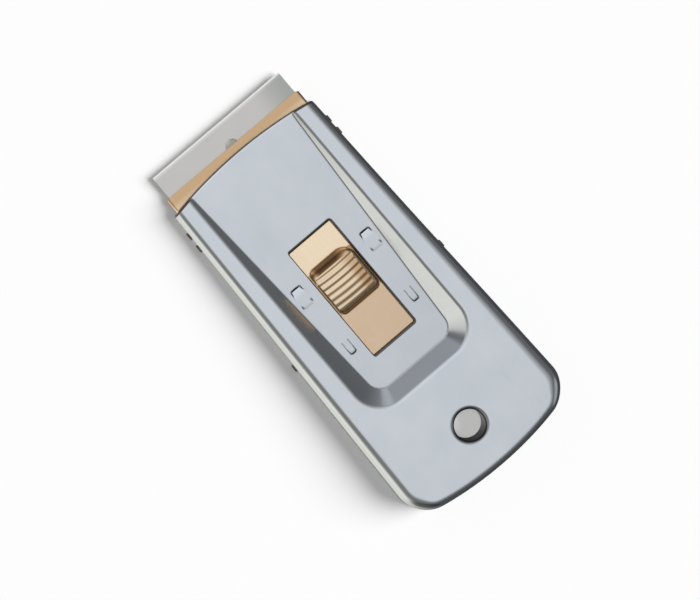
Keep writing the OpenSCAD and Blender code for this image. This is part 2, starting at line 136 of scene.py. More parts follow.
# The wide part's round corners, and the tongue behind it
YOKE_END = 18.51
YOKE_CORNER_R = 2.0
YOKE_CORNER_X = 17.25
TONGUE_HALF = 8.4
TONGUE_END = 62.41
TONGUE_CORNER_R = 2.5
TONGUE_ROOT_R = 0.6
FLANGE_Z = 0.93
# Front and tail end of the hump's foot. Its ridged crest starts this far behind the one, and ends this far
# before the other
HUMP = (30.11, 43.31)
CREST_FRONT = 2.05
CREST_TAIL = 2.0
# Half widths of the hump at its crest and its foot, left and right of the middle, and radii of its corners
HUMP_LEFT = (5.8, 6.05)
HUMP_RIGHT = (4.7, 5.75)
CREST_CORNER_R = 0.45
FOOT_CORNER_R = 1.6
FRONT_RIGHT_R = 3.4
# Height of the crest over the slide, and how much it falls to its ends and to its sides
CREST_HEIGHT = 3.9
END_FALL = 0.35
SIDE_FALL = 0.2
CREST_HALF = 5.5
# The two rivets, and their radius
RIVET_S = 58.41
RIVET_X = 2.6
RIVET_R = 1.62

# A line this far beside a bend or an edge keeps the faces there flat, and this far behind the front edge
HOLD = 0.3
FRONT_HOLD = 0.8

# Radii of the studio's floor and of its light tent, in metres
FLOOR_RADIUS = 3.0
TENT_RADIUS = 2.9
# The camera: its lens, its distance from what it looks at, in metres, that point in millimetres, and in
# degrees its lean to the left and to the blade and its turn about the view
LENS = 154.95
DISTANCE = 0.7
TARGET = (-2.389, 0.53, 4.0)
LEAN_LEFT = 2.5
LEAN_FRONT = 6.0
VIEW_TURN = -40.172


def top_at(s):
    """Height of the cover's upper plane at a station."""
    return PANEL_Z + STEP_Z + SLOPE * (s + CROWN)


def bow_at(x):
    """Station of the case's bowed front edge, this far across."""
    return BOW_R - CROWN - sqrt(BOW_R ** 2 - x * x)


def spot(x, s, z):
    """A place in the frame, in millimetres, from its distance across, station and height."""
    return Vector((x, FRONT_Y - s, z))


def mirrored(half):
    """A whole line from its right half, which ends on the middle."""
    return half + [Vector((-p.x, p.y, p.z)) for p in reversed(half[:-1])]


def smooth(t):
    """Eases from 0 to 1."""
    t = min(1.0, max(0.0, t))
    return t * t * (3 - 2 * t)


def mix(a, b, t):
    """The value this share of the way from a to b."""
    return a + (b - a) * t


def arc(x, s, r, first, last, steps):
    """A round about this centre, between two angles: each entry is across, station, and the way outwards."""
    angles = [mix(first, last, i / steps) for i in range(steps + 1)]
    return [(x + r * cos(a), s - r * sin(a), cos(a), -sin(a)) for a in angles]


def circle(x, s, r, z, steps):
    """A closed loop of places about this centre."""
    return [spot(*place[:2], z) for place in arc(x, s, r, 0, 2 * pi, steps)[:-1]]


def tangent(start, x, s, r):
    """Angle at which a straight line from this far across at station 0 meets a round about this centre."""
    return acos(-r / hypot(x - start, s)) + atan2(-s, x - start)


# Lines of edges

def draw_line(bm, points, closed=False):
    """New vertices at these points, with an edge from each to the next."""
    verts = [bm.verts.new(p) for p in points]
    join(bm, verts + verts[:1] if closed else verts)
    return verts


def join(bm, verts):
    """Edges from each vertex to the next, where there is none yet."""
    return [bm.edges.get(pair) or bm.edges.new(pair) for pair in zip(verts, verts[1:])]


def pull(bm, verts, points, closed=False, slot=0):
    """Extrudes a line of vertices and moves the new line to these points. Its faces take this slot."""
    ring = verts + verts[:1] if closed else verts
    edges = join(bm, ring)
    made = bmesh.ops.extrude_edge_only(bm, edges=edges)["geom"]
    for f in made:
        if isinstance(f, bmesh.types.BMFace):
            f.material_index = slot
    fresh = {g for g in made if isinstance(g, bmesh.types.BMVert)}
    new = [next(e.other_vert(v) for e in v.link_edges if e.other_vert(v) in fresh) for v in verts]
    for v, p in zip(new, points):
        v.co = p
    return new


def held_edge(bm, line_at, hold=HOLD, closed=True):
    """An edge, and the line beside it that keeps its sheet flat. Gives that line, and then the edge."""
    rim = draw_line(bm, line_at(hold), closed)
    return rim, pull(bm, rim, line_at(0.0), closed)


def front_line(bm, start, end, steps, height_at):
    """New vertices between two others, along the line behind the bowed front edge."""
    line = []
    for i in range(1, steps):
        x = mix(start.co.x, end.co.x, i / steps)
        s = bow_at(x) + FRONT_HOLD
        line.append(bm.verts.new(spot(x, s, height_at(s))))
    return line


def sweep(bm, lines, closed=False):
    """A surface through these lines of points. Gives its rows of vertices."""
    rows = [draw_line(bm, lines[0], closed)]
    for points in lines[1:]:
        rows.append(pull(bm, rows[-1], points, closed))
    return rows


def fill(bm, *loops):
    """Fills flat sheet between closed loops of vertices: the first is its rim, the others are holes."""
    edges = []
    for loop in loops:
        edges += join(bm, list(loop) + [loop[0]])
    bmesh.ops.triangle_fill(bm, use_beauty=True, use_dissolve=False, edges=edges, normal=(0, 0, 1))


def face_up(bm):
    """Turns the faces of an open sheet the same way, the widest ones upwards."""
    bmesh.ops.recalc_face_normals(bm, faces=bm.faces)
    if sum(f.normal.z * f.calc_area() for f in bm.faces) < 0:
        bmesh.ops.reverse_faces(bm, faces=bm.faces)


def new_object(bm, name, materials):
    """An object in the scene from a finished mesh."""
    mesh = bpy.data.meshes.new(name)
    bm.to_mesh(mesh)
    bm.free()
    for m in materials:
        mesh.materials.append(m)
    thing = bpy.data.objects.new(name, mesh)
    bpy.context.scene.collection.objects.link(thing)
    return thing


def make_piece(bm, name, body, materials, replaced):
    """A finished piece from a mesh in millimetres, riding on its body in place of these nodes."""
    bmesh.ops.scale(bm, vec=(MM, MM, MM), verts=bm.verts)
    for f in bm.faces:
        f.smooth = True
    piece = new_object(bm, name, materials)
    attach(piece, body)
    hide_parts(*replaced)
    return piece


def thicken(piece, thickness, edge_round, rim_slot=1):
    """Gives an open sheet its thickness, and rounds its sheared edges."""
    solid = piece.modifiers.new("sheet", "SOLIDIFY")
    solid.thickness = thickness
    solid.offset = -1
    solid.use_even_offset = True
    solid.use_quality_normals = True
    solid.material_offset_rim = rim_slot
    edge = piece.modifiers.new("sheared edge", "BEVEL")
    edge.width = edge_round
    edge.segments = 3
    edge.limit_method = "ANGLE"
    edge.angle_limit = radians(40)
    edge.use_clamp_overlap = True
    even = piece.modifiers.new("even shading", "WEIGHTED_NORMAL")
    even.keep_sharp = True


# Finishes

def linear(code):
    """A colour as the shaders take it, from its sRGB hex code."""
    parts = [int(code[i:i + 2], 16) / 255 for i in (1, 3, 5)]
    return (*(c / 12.92 if c <= 0.04045 else ((c + 0.055) / 1.055) ** 2.4 for c in parts), 1.0)


def add(tree, kind, inputs=None, stops=None, **settings):
    """Adds a node with its settings, its ramp's stops, and its inputs: values, or sockets to link."""
    node = tree.nodes.new(kind)
    for name, value in settings.items():
        setattr(node, name, value)
    if stops:
        elements = node.color_ramp.elements
        while len(elements) < len(stops):
            elements.new(1.0)
        for element, (place, colour) in zip(elements, stops):
            element.position = place
            element.color = colour
    for name, value in (inputs or {}).items():
        if isinstance(value, bpy.types.NodeSocket):
            tree.links.new(value, node.inputs[name])
        else:
            node.inputs[name].default_value = value
    return node.outputs


def new_material(name):
    """An empty node material, its tree, and the place on the object that its patterns read."""
    material = bpy.data.materials.new(name)
    material.use_nodes = True
    tree = material.node_tree
    tree.nodes.clear()
    return material, tree, add(tree, "ShaderNodeTexCoord")["Object"]


def per_mm(millimetres):
    """Scale of a pattern on Object coordinates, whose cells are this many millimetres wide."""
    return 1 / (millimetres * MM)


def grain(tree, place, width, stretch, turn=0.0, detail=3.0):
    """Streaks this many millimetres wide, drawn out along the axis whose stretch is below 1."""
    along = add(tree, "ShaderNodeMapping", {
        "Vector": place, "Scale": stretch, "Rotation": (0, 0, turn)})["Vector"]
    return add(tree, "ShaderNodeTexNoise", {"Vector": along, "Scale": per_mm(width), "Detail": detail})["Fac"]


def metal(tree, colour, roughness, height, strength, depth):
    """Ends a tree in bare metal at the default IOR, with a relief this many millimetres deep."""
    bump = add(tree, "ShaderNodeBump", {
        "Height": height, "Strength": strength, "Distance": depth * MM})["Normal"]
    shader = add(tree, "ShaderNodeBsdfPrincipled", {
        "Base Color": colour, "Roughness": roughness, "Metallic": 1.0, "Normal": bump})
    add(tree, "ShaderNodeOutputMaterial", {"Surface": shader["BSDF"]})


def plated_steel(name, pale, dull, low, high):
    """Pressed steel with bright plate: nearly mirror-smooth, a little cloudy, with fine handling marks."""
    material, tree, place = new_material(name)
    # The plate's cloudiness comes in patches of about 9 mm
    cloud = add(tree, "ShaderNodeTexNoise", {"Vector": place, "Scale": per_mm(9), "Detail": 3.0})["Fac"]
    # Rub marks, drawn 0.35 mm wide and long enough to show, along the object
    rub = grain(tree, place, 0.35, (1.0, 0.06, 1.0), turn=0.12, detail=4.0)
    marks = add(tree, "ShaderNodeMapRange", {"Value": rub, "From Min": 0.62, "From Max": 0.78})["Result"]
    # The painted shade attribute darkens the plate towards near black and roughens it: painted shade in
    # creases, round the openings and in the hole's neck
    painted_shade = add(tree, "ShaderNodeAttribute", attribute_name="painted_shade")["Fac"]
    tone = add(tree, "ShaderNodeMix", {0: cloud, 6: linear(pale), 7: linear(dull)}, data_type="RGBA")[2]
    painted_dark = add(tree, "ShaderNodeMix", {0: painted_shade, 6: tone, 7: linear("#2E3133")}, data_type="RGBA")[2]
    base = add(tree, "ShaderNodeMapRange", {"Value": cloud, "To Min": low, "To Max": high})["Result"]
    rubbed = add(tree, "ShaderNodeMath", {0: marks, 1: 0.06, 2: base}, operation="MULTIPLY_ADD")["Value"]
    rough = add(tree, "ShaderNodeMath", {0: painted_shade, 1: 0.2, 2: rubbed}, operation="MULTIPLY_ADD")["Value"]
    # The sheet's orange peel, 0.8 mm across
    peel = add(tree, "ShaderNodeTexNoise", {"Vector": place, "Scale": per_mm(0.8), "Detail": 2.0})["Fac"]
    height = add(tree, "ShaderNodeMath", {0: marks, 1: -0.2, 2: peel}, operation="MULTIPLY_ADD")["Value"]
    metal(tree, painted_dark, rough, height, 0.25, 0.004)
    return material


def sheared_steel(name, pale):
    """The sheet's cut edge: bare dark steel, torn in streaks across its thickness."""
    material, tree, place = new_material(name)
    streak = grain(tree, place, 0.25, (1.0, 1.0, 0.15))
    tone = add(tree, "ShaderNodeMix", {0: streak, 6: linear(pale), 7: linear("#564F47")}, data_type="RGBA")[2]
    rough = add(tree, "ShaderNodeMapRange", {"Value": streak, "To Min": 0.35, "To Max": 0.6})["Result"]
    metal(tree, tone, rough, streak, 0.5, 0.02)
    return material


def brass_plate(name, pale, dull, front_brown, bronze_tone_and_shade):
    """Brass-coloured satin plate on pressed steel: warm, softly blurred, browner where it lies bare in front.
    The painted shade attribute first tints it towards the bronze tone, partly the plate's own colour and
    partly painted shade, and then towards a deeper painted shade."""
    material, tree, place = new_material(name)
    # Brighter in front of the hump, duller behind it, and a little cloudy
    cloud = add(tree, "ShaderNodeTexNoise", {"Vector": place, "Scale": per_mm(6), "Detail": 3.0})["Fac"]
    station = add(tree, "ShaderNodeSeparateXYZ", {"Vector": place})["Y"]
    tail_y = FRONT_Y - HUMP[1]
    behind = add(tree, "ShaderNodeMapRange", {
        "Value": station, "From Min": (tail_y + 1.8) * MM, "From Max": (tail_y - 0.4) * MM})["Result"]
    shade = add(tree, "ShaderNodeMath", {0: cloud, 1: 0.4, 2: -0.2}, operation="MULTIPLY_ADD")["Value"]
    shade = add(tree, "ShaderNodeMath", {0: behind, 1: shade}, operation="ADD", use_clamp=True)["Value"]
    # Rolling lines of the strip, 0.12 mm wide, along the object
    lines = grain(tree, place, 0.12, (1.0, 0.02, 1.0))
    tone = add(tree, "ShaderNodeMix", {0: shade, 6: linear(pale), 7: linear(dull)}, data_type="RGBA")[2]
    # The strip in front of the case is made browner
    bare = add(tree, "ShaderNodeMapRange", {
        "Value": station, "From Min": (FRONT_Y - 1.0) * MM, "From Max": (FRONT_Y + 2.2) * MM})["Result"]
    painted_shade = add(tree, "ShaderNodeAttribute", attribute_name="painted_shade")["Fac"]
    browned = add(tree, "ShaderNodeMix", {0: bare, 6: tone, 7: linear(front_brown)}, data_type="RGBA")[2]
    # Up to half, the attribute tints towards the bronze tone; above half it paints deep shade
    tone_and_shade_share = add(tree, "ShaderNodeMapRange", {"Value": painted_shade, "From Max": 0.5})["Result"]
    deep_shade_share = add(tree, "ShaderNodeMapRange", {"Value": painted_shade, "From Min": 0.5})["Result"]
    toned_and_shaded = add(tree, "ShaderNodeMix", {0: tone_and_shade_share, 6: browned, 7: linear(bronze_tone_and_shade)}, data_type="RGBA")[2]
    painted_dark = add(tree, "ShaderNodeMix", {0: deep_shade_share, 6: toned_and_shaded, 7: linear("#6E5337")}, data_type="RGBA")[2]
    base = add(tree, "ShaderNodeMapRange", {"Value": lines, "To Min": 0.22, "To Max": 0.3})["Result"]
    rough = add(tree, "ShaderNodeMath", {0: painted_shade, 1: 0.15, 2: base}, operation="MULTIPLY_ADD")["Value"]
    metal(tree, painted_dark, rough, lines, 0.15, 0.006)
    return material


def ground_blade(name, pale, dull, honed_highlight, edge_y):
    """Ground carbon steel: fine grinding lines along the edge, and the sharpened edge itself painted brighter,
    as a painted highlight.
    """
    material, tree, place = new_material(name)
    # Grinding lines 0.1 mm wide
    lines = grain(tree, place, 0.1, (0.02, 1.0, 1.0))
    cloud = add(tree, "ShaderNodeTexNoise", {"Vector": place, "Scale": per_mm(14), "Detail": 1.0})["Fac"]
    tone = add(tree, "ShaderNodeMix", {0: cloud, 6: linear(pale), 7: linear(dull)}, data_type="RGBA")[2]
    split = add(tree, "ShaderNodeSeparateXYZ", {"Vector": place})
    # Painted shade darkens the right end
    right_end_shade = add(
        tree, "ShaderNodeMapRange", {"Value": split["X"], "From Min": 9 * MM, "From Max": 19 * MM},
        interpolation_type="SMOOTHSTEP")["Result"]
    tone = add(tree, "ShaderNodeMix", {0: right_end_shade, 6: tone, 7: linear("#ABAEAC")}, data_type="RGBA")[2]
    # A painted highlight along the sharpened edge
    edge = add(tree, "ShaderNodeMapRange", {
        "Value": split["Y"], "From Min": edge_y - 0.5 * MM, "From Max": edge_y - 0.35 * MM})["Result"]
    bright = add(tree, "ShaderNodeMix", {0: edge, 6: tone, 7: linear(honed_highlight)}, data_type="RGBA")[2]
    rough = add(tree, "ShaderNodeMapRange", {"Value": lines, "To Min": 0.28, "To Max": 0.4})["Result"]
    metal(tree, bright, rough, lines, 0.2, 0.006)
    return material


def rolled_strip(name, pale, dull, rough_low, rough_high):
    """Plain rolled steel strip: greyer and softer than the plate, with lines along the strip."""
    material, tree, place = new_material(name)
    lines = grain(tree, place, 0.2, (0.03, 1.0, 1.0))
    tone = add(tree, "ShaderNodeMix", {0: lines, 6: linear(pale), 7: linear(dull)}, data_type="RGBA")[2]
    rough = add(tree, "ShaderNodeMapRange", {
        "Value": lines, "To Min": rough_low, "To Max": rough_high})["Result"]
    metal(tree, tone, rough, lines, 0.3, 0.008)
    return material


# Properties

class ScraperCase(bpy.types.PropertyGroup):
    """Sizes and colours of the pressed case."""
    sheet: bpy.props.FloatProperty(
        name="Sheet", description="Thickness of the cover's sheet", default=0.8 * MM, unit="LENGTH")
    floor_bend: bpy.props.FloatProperty(
        name="Floor Bend", description="Radius of the bend round the sunk panel's floor",
        default=0.7 * MM, unit="LENGTH")
    wall_bend: bpy.props.FloatProperty(
        name="Wall Bend", description="Radius of the bend along the top of the panel's walls",
        default=1.7 * MM, unit="LENGTH")
    window_roll: bpy.props.FloatProperty(
        name="Window Roll", description="How far the window's sheared edge rolls over", default=0.5 * MM,
        unit="LENGTH")
    hole_lip: bpy.props.FloatProperty(
        name="Hole Lip", description="Radius of the drawn lip of the hanging hole", default=1.0 * MM,
        unit="LENGTH")
    edge_round: bpy.props.FloatProperty(
        name="Edge Round", description="Rounding of the sheared edges", default=0.1 * MM, unit="LENGTH")
    plate: bpy.props.StringProperty(
        name="Plate", description="Colour of the bright plate, as an sRGB hex code", default="#C0C5CB")
    plate_dull: bpy.props.StringProperty(
        name="Dull Plate", description="Colour of the plate's duller patches", default="#B9BFC6")
    cut: bpy.props.StringProperty(
        name="Cut Edge", description="Colour of the sheet's sheared edges", default="#76716B")
    base_sheet: bpy.props.FloatProperty(
        name="Base Sheet", description="Thickness of the base plate", default=0.8 * MM, unit="LENGTH")


class ScraperSlide(bpy.types.PropertyGroup):
    """Sizes and colours of the slide and its blade."""
    sheet: bpy.props.FloatProperty(
        name="Sheet", description="Thickness of the slide's sheet", default=0.7 * MM, unit="LENGTH")
    ridges: bpy.props.IntProperty(
        name="Ridges", description="Number of ridges across the thumb hump", default=7)
    ridge_height: bpy.props.FloatProperty(
        name="Ridge Height", description="Height of a ridge over its valleys", default=0.19 * MM,
        unit="LENGTH")
    ridge_bow: bpy.props.FloatProperty(
        name="Ridge Bow", description="How far the ridges bow to the tail in the middle",
        default=0.25 * MM, unit="LENGTH")
    brass: bpy.props.StringProperty(
        name="Brass", description="Colour of the slide's plate, as an sRGB hex code", default="#EDDABE")
    brass_dull: bpy.props.StringProperty(
        name="Dull Brass", description="Colour of the plate's duller patches", default="#D3BA9F")
    # The colour that the strip in front is made browner with
    front_brown: bpy.props.StringProperty(
        name="Tarnish", description="Colour of the bare strip in front", default="#C4A683")
    # The bronze tone is partly the hump's own colour and partly painted shade on its walls and the rear sides
    # of its ridges
    bronze_tone_and_shade: bpy.props.StringProperty(
        name="Film", description="Colour of the bronze film in the hump's valleys and on its walls",
        default="#BD976D")
    blade: bpy.props.StringProperty(
        name="Blade", description="Colour of the blade's ground steel", default="#D1CECC")
    # The sharpened edge's colour is a painted highlight
    honed_highlight: bpy.props.StringProperty(
        name="Honed Edge", description="Colour of the blade's honed edge", default="#E2E2E2")


class ScraperStudio(bpy.types.PropertyGroup):
    """Levels of the studio."""
    key: bpy.props.FloatProperty(
        name="Key", description="Strength of the soft key light", default=4.9)
    overhead: bpy.props.FloatProperty(
        name="Overhead", description="Strength of the light straight above", default=0.7)
    key_spread: bpy.props.FloatProperty(
        name="Key Spread", description="Angle across the key light", default=radians(44), subtype="ANGLE")
    floor_glow: bpy.props.FloatProperty(
        name="Floor Glow", description="How light the floor stays inside a shadow", default=0.06)


# Cover

def case_samples():
    """Right half of the case's outline: each entry is across, station, and the way outwards."""
    corner_x = TAIL_HALF - TAIL_CORNER_R
    bow_s = CASE_END + TAIL_OUT - TAIL_BOW_R
    corner_s = bow_s + sqrt((TAIL_BOW_R - TAIL_CORNER_R) ** 2 - corner_x ** 2)
    side = tangent(FRONT_HALF, corner_x, corner_s, TAIL_CORNER_R)
    bow = atan2(bow_s - corner_s, corner_x)
    corner = arc(corner_x, corner_s, TAIL_CORNER_R, side, bow, 24)
    end_x, end_s, nx, ns = corner[0]
    # The wall has a line at both ends of each ear's slot, and others between them
    stations = [0.0, 1.6, 3.3]
    for ear in EARS:
        stations += [ear - EAR_HALF - EAR_PLAY, ear + EAR_HALF + EAR_PLAY]
    stations += [13 + 3.4 * i for i in range(9)] + [48.5 + 3.0 * i for i in range(12)]
    wall = [(mix(FRONT_HALF, end_x, s / end_s), s, nx, ns) for s in sorted(stations) if s < end_s - 1]
    return wall + corner + arc(0.0, bow_s, TAIL_BOW_R, bow, -pi / 2, 14)[1:]


def right_out(s):
    """How much further out the right wall stands than the left one at a station."""
    return RIGHT_OUT * smooth((s - OUT_FROM) / OUT_OVER)


def roll_at(s):
    """Radius of the rolled edge at a station."""
    return mix(ROLL_FRONT, ROLL_TAIL, s / CASE_END) - TAIL_TIGHTER * smooth((s - TIGHT_FROM) / TIGHT_OVER)


def case_line(samples, inset_at, height_at):
    """One line round the case, starting behind the front edge. Its inset and height follow the station."""
    right, left = [], []
    for i, (x, s, nx, ns) in enumerate(samples):
        inset = inset_at(s)
        px, ps = max(0.0, x - inset * nx), s - inset * ns
        if i == 0:
            ps = bow_at(px) + FRONT_HOLD
        left.append(spot(-px, ps, height_at(ps)))
        # The right wall's step out fades round the tail's corner, and up to the roll's inner line
        out = right_out(s) * nx ** 4 * max(0.0, 1 - inset / (ROLL_TAIL + DRAFT))
        right.append(spot(px + out, ps, height_at(ps)))
    return right + left[-2::-1]


def panel_samples():
    """Right half of the sunk panel: pairs of a place on the floor's line and one on the walls' outer line."""
    floor_end = WINDOW[3] + FLOOR_BEHIND
    wall_end = floor_end + WALL_RUN
    fx, fs = FLOOR_TAIL - FLOOR_R, floor_end - FLOOR_R
    rx, rs = RAIL_HALF - RAIL_R, wall_end - RAIL_R
    floor = arc(fx, fs, FLOOR_R, tangent(FLOOR_FRONT, fx, fs, FLOOR_R), -pi / 2, 20)
    rail = arc(rx, rs, RAIL_R, 0, -pi / 2, 20)
    end_x, end_s = floor[0][:2]
    rows = []
    # The floor's straight side is drawn from 3 mm in front of station 0
    for i in range(31):
        k = i / 31
        x = mix(FLOOR_FRONT, end_x, (end_s * k + 3) / (end_s + 3))
        rows.append(((x, end_s * k), (RAIL_HALF, rs * k)))
    rows += zip(floor, rail)
    for i in range(1, 6):
        k = 1 - i / 5
        rows.append(((fx * k, floor_end), (rx * k, wall_end)))
    return rows


def panel_lines(samples, floor_bend, wall_bend):
    """The lines of the sunk panel's wall, from its floor up to the rail, with both bends."""
    columns = []
    steps = 6
    for i, (inner, outer) in enumerate(samples):
        if i == 0:
            inner, outer = [(p[0], bow_at(p[0]) + FRONT_HOLD) for p in (inner, outer)]
        across = Vector((outer[0] - inner[0], outer[1] - inner[1]))
        width = across.length
        way = across / width
        height = top_at(outer[1]) - PANEL_Z
        steep = atan2(height, width)
        plane = atan2(SLOPE * way.y, 1)
        near = floor_bend * tan(steep / 2)
        far = wall_bend * tan((steep - plane) / 2)
        track = [(-near - HOLD, 0.0)] + arc(-near, floor_bend, floor_bend, pi / 2, pi / 2 - steep, steps)
        bend_u = width - far * cos(steep) + wall_bend * sin(steep)
        bend_z = height - far * sin(steep) - wall_bend * cos(steep)
        track += arc(bend_u, bend_z, wall_bend, -pi / 2 - steep, -pi / 2 - plane, steps)
        track.append((track[-1][0] + HOLD, track[-1][1] + HOLD * tan(plane)))
        column = []
        for k, (u, z, *_) in enumerate(track):
            x, s = inner[0] + way.x * u, inner[1] + way.y * u
            if i == 0:
                s = bow_at(x) + FRONT_HOLD
            rise = top_at(s) if k >= len(track) - 2 else PANEL_Z + z
            column.append(spot(max(0.0, x), s, rise))
        columns.append(column)
    return [mirrored([c[k] for c in columns]) for k in range(len(columns[0]))]


def window_loop(grow, drop):
    """A loop round the window with small round corners, this far outside its edge and this far down."""
    r = WINDOW_CORNER_R
    left, right, front, tail = WINDOW
    left_roll, right_roll, end_roll = WINDOW_ROLLS
    loop = []
    for x, s, side_roll, start in (
        (right - r, front + r, right_roll, 0), (left + r, front + r, left_roll, 90),
        (left + r, tail - r, left_roll, 180), (right - r, tail - r, right_roll, 270),
    ):
        for i in range(5):
            a = radians(start + 90 * i / 4)
            loop.append(spot(
                x + (r + side_roll * grow) * cos(a), s - (r + end_roll * grow) * sin(a), PANEL_Z - drop))
    return loop


def pierce_window(bm, roll):
    """The window, whose sheared edge rolls over by this much. Below its first step the roll takes the dark
    cut-edge finish: partly bare steel, partly painted shade in the gap round the window. Gives its rim.
    """
    rim, line = held_edge(bm, lambda grow: window_loop(roll + grow, 0.0), 0.15)
    turn = radians(72)
    steps = 5
    for k in range(1, steps + 1):
        a = turn * k / steps
        loop = window_loop(roll * (1 - sin(a) / sin(turn)), roll * (1 - cos(a)))
        line = pull(bm, line, loop, closed=True, slot=1 if k > 1 else 0)
    return rim


def lance(
        bm, layer, x, half, root, length, way, slit, bend, drop, torn_from, tip, dots=(), crease=0.0,
        root_crease=0.0):
    """A tongue lanced out of the panel, from its root forward where way is 1, and to the tail where it is -1.
    It is torn free beyond this share of its length, and its tip's corners are rounded by this share of its
    half width. It bends down a little, and its end is turned down by its drop. It has dots of painted shade at
    these rows, standing for the punch's relief holes, and creases of painted shade along its cut and its root.
    Gives the rim of its opening."""
    before = set(bm.verts)
    sealed = 5
    rows = [torn_from * length * k / sealed for k in range(sealed + 1)]
    corner = tip * half
    side = [(half, d) for d in rows]
    side += [(half, mix(torn_from, 1, 0.4) * length), (half, length - corner)]
    side += [(half - 0.3 * corner, length - 0.3 * corner), (half - corner, length)]
    roots = [half * c / 3 for c in (-2, -1, 0, 1, 2)]
    shape = side + [(0.0, length)] + [(-u, d) for u, d in reversed(side)] + [(u, 0.0) for u in roots]

    def loop_at(grow):
        loop = []
        for u, d in shape:
            out = grow if u > 0.98 * (half - corner) else (-grow if u < -0.98 * (half - corner) else 0.0)
            ahead = grow if d > length - 1.01 * corner else (-grow if d < 0.01 else 0.0)
            loop.append(spot(x + u + out, root - way * (d + ahead), PANEL_Z))
        return loop

    rim, inner = held_edge(bm, loop_at, 0.2)
    n = len(side)
    right, left = inner[:n], list(reversed(inner[n + 1:2 * n + 1]))
    verts = [left[0]] + inner[2 * n + 1:] + [right[0]]
    end = length - 0.9 * slit
    for k in range(1, 11):
        t = k / 10
        d = rows[k] if k <= sealed else mix(rows[-1], end - 0.2, (k - sealed) / (9 - sealed))
        fall = bend * smooth((t - 0.45) / 0.45)
        wide = (half - slit * smooth((t - 0.5) / 0.3)) / half
        # The last two rows narrow with the tip's round corners, and the last one is turned down
        if k == 9:
            wide *= 1 - 0.3 * tip
        elif k == 10:
            d, fall = end, drop
            wide *= 1 - 0.6 * tip
        across = [-half] + roots + [half]
        new = pull(bm, verts, [spot(x + u * wide, root - way * d, PANEL_Z - fall) for u in across])
        if k <= sealed:
            for edge, near, far in ((left, verts[0], new[0]), (right, verts[-1], new[-1])):
                corners = [edge[k - 1], edge[k], far] + ([near] if near is not edge[k - 1] else [])
                bmesh.ops.contextual_create(bm, geom=corners)
        verts = new
    # The cut and the root get faint creases of painted shade, and the punch's corners two dots of painted
    # shade, standing for relief holes
    painted_dark = [(v.co.copy(), crease) for v in inner[:2 * n + 1]]
    painted_dark += [(v.co.copy(), root_crease) for v in inner[2 * n + 1:]]
    painted_dark += [(v.co.copy(), 1.0) for k in dots for v in (left[k], right[k])]
    tongue = [v for v in bm.verts if v not in before]
    bmesh.ops.remove_doubles(bm, verts=tongue, dist=0.002)
    for v in tongue:
        if v.is_valid:
            v[layer] = max([amount for place, amount in painted_dark if (v.co - place).length < 0.005], default=0.0)
    return rim


